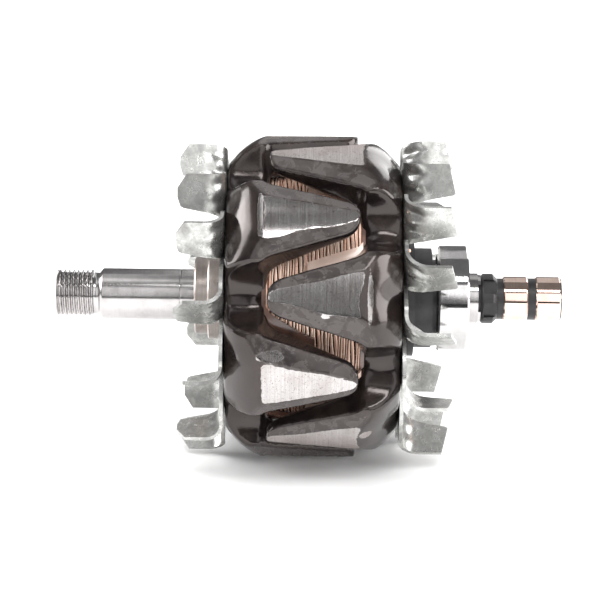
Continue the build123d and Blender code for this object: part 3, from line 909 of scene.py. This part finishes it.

# %% [markdown]
# ## Petals
# A thin tab of the spool lies under the root of each claw and keeps the wire off the iron. The spool
# sits turned a few degrees, so each tab peeps out along one flank of its claw. A tab is a ring of
# points round its cross-section, repeated from its tip to its root, with a closed row at each end.
# Its edge is a list of stations, each with the degrees that the tab reaches round from the middle
# of its claw. The slip-ring end tabs are painted pale, as a stand-in for the light their glossy faces
# catch.

# %% Press the petals
PETAL_INNER_RADIUS = 39.9
PETAL_OUTER_RADIUS = 41.2
HIDDEN_EDGE_SHARE = 0.35
PETAL_COLUMNS = 14
PETAL_ROWS = 16
DRIVE_END_EDGE = [(-0.6, 11.4), (4.0, 14.5), (8.6, 18.4), (13.0, 22.2), (14.6, 25.0), (15.6, 28.0)]
SLIP_RING_END_EDGE = [(-2.0, 16.0), (6.0, 19.8), (14.6, 23.8), (15.6, 26.0)]


def petal_rows(side, middle, edge):
    """Rings of points round the cross-section of one petal, from tip to root."""
    tip, root = edge[0][0], edge[-1][0]
    stations = [tip, *np.linspace(tip, root, PETAL_ROWS), root]
    edge_stations = [point[0] for point in edge]
    edge_turns = [point[1] for point in edge]
    middle_radius = (PETAL_INNER_RADIUS + PETAL_OUTER_RADIUS) / 2
    rows = []
    for number, station in enumerate(stations):
        reach = np.interp(station, edge_stations, edge_turns)
        spread = np.linspace(-reach * HIDDEN_EDGE_SHARE, reach, PETAL_COLUMNS)
        ring = [(turn, PETAL_OUTER_RADIUS) for turn in spread]
        ring += [(turn, PETAL_INNER_RADIUS) for turn in spread[::-1]]
        if number in (0, len(stations) - 1):
            ring = [(turn, middle_radius) for turn, _ in ring]
        centre = Vector((side * station, 0, 0))
        rows.append([centre + direction(middle + turn) * radius for turn, radius in ring])
    return np.array(rows) * MM


def petals(name, node_name, side, first_angle, edge):
    """The six petals under one pole's claws, as one piece."""
    angles = [first_angle + 360 / CLAW_COUNT * claw for claw in range(CLAW_COUNT)]
    meshes = [grid_mesh("petal", petal_rows(side, angle, edge)) for angle in angles]
    return add_piece(name, merge(name, meshes), "bobbin_plastic", [node_name])


def mark_painted_lit(piece):
    """Mark a piece for the pale colour that stands in for the light it catches."""
    layer = piece.data.attributes.new("painted_lit", "FLOAT", "POINT")
    layer.data.foreach_set("value", [1.0] * len(piece.data.vertices))


petals("drive_end_tabs", "drive_end_petals", -1, LEFT_CLAW_ANGLE, DRIVE_END_EDGE)
# Painted light: the slip-ring end tabs are marked for the pale colour.
mark_painted_lit(petals("slip_ring_end_tabs", "slip_ring_end_petals", 1, RIGHT_CLAW_ANGLE, SLIP_RING_END_EDGE))

# %% [markdown]
# ## Fans
# Each fan is a disc of sheet with blades bent up from its edge. The press leaves a round bend with two
# dents that stiffen it. A blade is first a middle surface, a grid of points along the blade and up
# it, and `thicken` then gives it the sheet's thickness along the surface's own normals. The blades
# stand at uneven angles, so that their noise has no single note. An outline gives a blade's height
# over the pole at stations along its foot.

# %% Press the fans
SHEET = 1.2
FAN_EDGE_RADIUS = 45.5
BLADE_OUTER_RADIUS = 52.0
DENT_WIDTH = 2.0
DENT_PLACES = (0.22, 0.62)
DENT_REACH = 1.9
LOW_DENT_SHARE = 0.25
BLADE_ROWS = 30
BLADE_COLUMNS = 30
LEAST_HEIGHT = 0.3
FOOT_STEPS = 8
DRIVE_FAN = {
    "side": -1,
    "dent": 0.6,
    "bend": 4.6,
    "sweep": 10.8,
    "inner_radius": 41.5,
    "angles": (86.5, 63.5, 41.5, 12.7, -17.2, -49.0, -81.0, -115.5, -145.0, -175.0, -204.5, -234.0),
    "outline": ((0, 12.3), (4.5, 15.2), (7.5, 15.2), (10.8, 14.1), (12.6, 5.0), (14.5, 0)),
}
REAR_FAN = {
    "side": 1,
    "dent": 1.4,
    "bend": 6.0,
    "sweep": 7.3,
    "inner_radius": 42.5,
    "angles": (100.0, 71.5, 48.8, 26.1, 2.4, -28.0, -68.0, -97.0, -125.6, -152.0, -178.0, -204.0, -231.0),
    "outline": ((0, 14.6), (10.0, 16.9), (11.4, 9.0), (13.0, 4.0), (15.5, 0)),
}


def blade_surface(fan, angle):
    """The middle surface of one blade in millimetres, from its foot on the disc to its top."""
    side, bend = fan["side"], fan["bend"]
    axial = Vector((side, 0, 0))
    outer = direction(angle) * BLADE_OUTER_RADIUS
    inner = direction(angle - fan["sweep"]) * fan["inner_radius"]
    chord = (inner - outer).normalized()
    inward = axial.cross(chord) * side
    origin = outer + axial * POLE_HALF_LENGTH
    middle = bend + SHEET / 2
    centre = bend + SHEET
    depth = fan["dent"] * (1 if angle > 0 else LOW_DENT_SHARE)
    stations = [point[0] for point in fan["outline"]]
    heights = [point[1] for point in fan["outline"]]
    rows = []
    for place in np.linspace(0, stations[-1], BLADE_ROWS):
        height = max(np.interp(place, stations, heights) - SHEET / 2, LEAST_HEIGHT)
        arc = middle * math.acos(max(1 - height / middle, 0))
        reach = arc + max(height - middle, 0)
        gaps = [place - spot * stations[-1] for spot in DENT_PLACES]
        dent = depth * sum(math.exp(-((gap / DENT_WIDTH) ** 2)) for gap in gaps)
        row = []
        for travel in np.linspace(0, reach, BLADE_COLUMNS):
            turn = min(travel / middle, math.pi / 2)
            straight = max(travel - middle * math.pi / 2, 0)
            push = dent * math.sin(math.pi * min(travel / (middle * DENT_REACH), 1)) ** 2
            level = middle - push
            point = origin + chord * place
            point += inward * (centre - level * math.sin(turn))
            point += axial * (centre - level * math.cos(turn) + straight)
            row.append(point)
        rows.append(row)
    return np.array(rows)


def thicken(surface, thickness):
    """Closed rows of points round a surface, for a sheet of the given thickness."""
    along = np.gradient(surface, axis=0)
    up = np.gradient(surface, axis=1)
    normal = np.cross(along, up)
    normal /= np.maximum(np.linalg.norm(normal, axis=-1, keepdims=True), 1e-9)
    near = surface + normal * thickness / 2
    far = surface - normal * thickness / 2
    rows = np.concatenate([near, far[:, ::-1]], axis=1)
    middle = np.concatenate([surface, surface[:, ::-1]], axis=1)
    return np.concatenate([middle[:1], rows, middle[-1:]])


def disc_outline(fan):
    """Points round the edge of a fan's disc: along each blade's foot, then a curve to the next."""
    outline = []
    feet = [blade_surface(fan, angle)[:, 0] for angle in sorted(fan["angles"])]
    for foot, after in zip(feet, feet[1:] + feet[:1]):
        start, end = foot[0], after[-1]
        middle = start + end
        middle[0] = 0
        middle *= FAN_EDGE_RADIUS / np.linalg.norm(middle)
        outline += list(np.linspace(foot[-1], start, FOOT_STEPS, endpoint=False))
        for share in np.linspace(0, 1, FOOT_STEPS, endpoint=False):
            curve = start * (1 - share) * (1 - 2 * share) + middle * 4 * share * (1 - share)
            outline.append(curve + end * share * (2 * share - 1))
    return np.array(outline)


def disc_rows(fan):
    """Closed rows of points round the section of a fan's disc."""
    pole_side = np.array([fan["side"] * POLE_HALF_LENGTH, 0, 0])
    air_side = np.array([fan["side"] * (POLE_HALF_LENGTH + SHEET), 0, 0])
    rows = []
    for _, y, z in disc_outline(fan):
        rim = math.hypot(y, z)
        away = np.array([0, y, z]) / rim
        corners = [(pole_side, PRESS_RADIUS), (pole_side, rim), (air_side, rim), (air_side, PRESS_RADIUS)]
        rows.append([face + away * radius for face, radius in corners])
    return np.array(rows + rows[:1])


def pressed_fan(name, node_name, fan):
    """A whole fan: its disc and every blade."""
    meshes = [grid_mesh("disc", disc_rows(fan) * MM)]
    for angle in fan["angles"]:
        meshes.append(grid_mesh("blade", thicken(blade_surface(fan, angle), SHEET) * MM))
    add_piece(name, merge(name, meshes), "zinc_sheet", [node_name])


pressed_fan("drive_end_impeller", "drive_end_fan", DRIVE_FAN)
pressed_fan("slip_ring_end_impeller", "slip_ring_end_fan", REAR_FAN)

# %% [markdown]
# ## The end of a coil lead
# The near lead leaves the coil in the dark between two claws, and only its cut end shows beside the
# fan, as a short bright stub of wire.

# %% Cut the lead short
LEAD_ANGLE = 37.0
LEAD_RADIUS = 41.15
LEAD_WIRE_RADIUS = 0.6
LEAD_START = 28.8
LEAD_END = 30.7
LEAD_SEGMENTS = 16


def lead_stub():
    """A short round pin along the shaft's direction, with rounded ends."""
    centre = direction(LEAD_ANGLE) * LEAD_RADIUS
    outline = [
        (LEAD_START, 0.001),
        (LEAD_START, 0.9),
        (LEAD_START + 0.2, 1.0),
        (LEAD_END - 0.3, 1.0),
        (LEAD_END - 0.08, 0.7),
        (LEAD_END, 0.001),
    ]
    points = lathe([(station, share * LEAD_WIRE_RADIUS) for station, share in outline], LEAD_SEGMENTS)
    return points + np.array(centre) * MM


add_piece("lead_end", grid_mesh("lead_end", lead_stub()), "enamelled_copper", ["coil_lead_near"])

# %% [markdown]
# ## Floor
# The photograph is a product picture on a white sweep. A large white floor at the lowest point of
# the model does the same, and a faint glow lifts it to pure white.

# %% Build the floor
FLOOR_SIZE = 12.0
FLOOR_WHITE = opaque(0.93, 0.93, 0.93)
FLOOR_ROUGHNESS = 0.6
FLOOR_GLOW = 0.02
floor_height = cad_bounds[0].z


def flat_card(name, corners, material):
    """A flat four-cornered card on the stage."""
    mesh = bpy.data.meshes.new(name)
    mesh.from_pydata(corners, [], [(0, 1, 2, 3)])
    mesh.materials.append(material)
    card = bpy.data.objects.new(name, mesh)
    bpy.context.scene.collection.objects.link(card)
    return card


def plain_finish(name, colour, roughness, glow=0.0):
    """An even material for the stage."""
    finish = Finish(name)
    return finish.surface(
        Base_Color=colour, Roughness=roughness, Emission_Color=opaque(1, 1, 1), Emission_Strength=glow
    )


half = FLOOR_SIZE / 2
floor_corners = [
    (-half, -half, floor_height),
    (half, -half, floor_height),
    (half, half, floor_height),
    (-half, half, floor_height),
]
floor_finish = plain_finish("floor_white", FLOOR_WHITE, FLOOR_ROUGHNESS, FLOOR_GLOW)
flat_card("floor", floor_corners, floor_finish)
print("floor at", round(floor_height / MM, 1), "mm")

# %% [markdown]
# ## Light
# Polished metal shows only what it mirrors, so the light is built from the photograph's reflections.
# Two large panels in front fill the flat faces, and two small ones above them draw the white bands.
# The strong panels at the sides light the rolled shoulders, and those behind and on top light
# the upper edges. A dark card low in front, which only reflections see, draws the thin black line
# along the shaft. A wide sun that reflections don't see whitens the floor.

# %% Hang the lights
PANEL_DISTANCE = 1.3
FILL_STRENGTH = 3.5
FILL_SPREAD = math.radians(75)
GAP_ELEVATIONS = (-9, 4)
GAP_DISTANCE = 0.6
GAP_HALF_WIDTH = 3.0
BLACK = opaque(0.01, 0.01, 0.01)
ROOM_BRIGHTNESS = 0.19


def soft_light(name, place, size, power):
    """A rectangular soft light that faces the rotor."""
    lamp = bpy.data.lights.new(name, "AREA")
    lamp.shape = "RECTANGLE"
    lamp.size, lamp.size_y = size
    lamp.energy = power
    light = bpy.data.objects.new(name, lamp)
    light.location = place
    light.rotation_euler = Vector(place).to_track_quat("Z", "Y").to_euler()
    bpy.context.scene.collection.objects.link(light)
    return light


def gap_card(name, elevations, material):
    """A dark strip across the front that only reflections see, between two elevations in degrees."""
    low, high = [direction(elevation) * GAP_DISTANCE for elevation in elevations]
    left, right = -GAP_HALF_WIDTH, GAP_HALF_WIDTH
    corners = [(left, low.y, low.z), (right, low.y, low.z), (right, high.y, high.z), (left, high.y, high.z)]
    card = flat_card(name, corners, material)
    card.visible_camera = False
    card.visible_diffuse = False
    card.visible_shadow = False
    card.visible_transmission = False


def panel_light(name, azimuth, elevation, size, radiance):
    """A soft light of a known brightness, placed by its direction from the rotor in degrees."""
    around = math.radians(azimuth)
    above = math.radians(elevation)
    level = math.cos(above)
    away = Vector((-math.sin(around) * level, -math.cos(around) * level, math.sin(above)))
    power = radiance * math.pi * size[0] * size[1]
    return soft_light(name, away * PANEL_DISTANCE, size, power)


# Azimuth, from the front towards the left, and elevation in degrees, size in metres, brightness.
panels = [
    panel_light("front_left_panel", 21, 24, (0.75, 1.05), 1.0),
    panel_light("front_right_panel", -28, 24, (1.0, 1.05), 1.5),
    panel_light("softbox_left", -2, 57.5, (0.22, 0.2), 1.2),
    panel_light("softbox_right", -19, 57.5, (0.55, 0.2), 9.0),
    panel_light("top_left_panel", 60, 70, (0.5, 0.6), 0.7),
    panel_light("back_panel", 180, 45, (0.22, 1.1), 0.66),
    panel_light("back_strip_panel", 194, 45, (0.24, 1.1), 0.4),
    panel_light("shaft_top_panel", 90, 80, (1.2, 0.2), 0.55),
    panel_light("left_panel", 105, 22, (0.75, 0.9), 6.0),
    panel_light("left_core_panel", 105, 24, (0.3, 0.5), 4.0),
    panel_light("right_panel", -82, 18, (0.9, 0.85), 6.0),
    panel_light("back_right_panel", -150, 18, (0.6, 0.8), 3.0),
]
fill_lamp = bpy.data.lights.new("floor_fill", "SUN")
fill_lamp.energy = FILL_STRENGTH
fill_lamp.angle = FILL_SPREAD
fill_light = bpy.data.objects.new("floor_fill", fill_lamp)
fill_light.visible_glossy = False
bpy.context.scene.collection.objects.link(fill_light)
gap_card("low_gap", GAP_ELEVATIONS, plain_finish("black_card", BLACK, 1.0))

world = bpy.data.worlds.new("studio")
bpy.context.scene.world = world
world.use_nodes = True
background = world.node_tree.nodes["Background"]
background.inputs["Color"].default_value = opaque(1, 1, 1)
background.inputs["Strength"].default_value = ROOM_BRIGHTNESS
bpy.context.scene.view_settings.view_transform = "Standard"
print("lights:", len(panels), "panels and", fill_light.name)
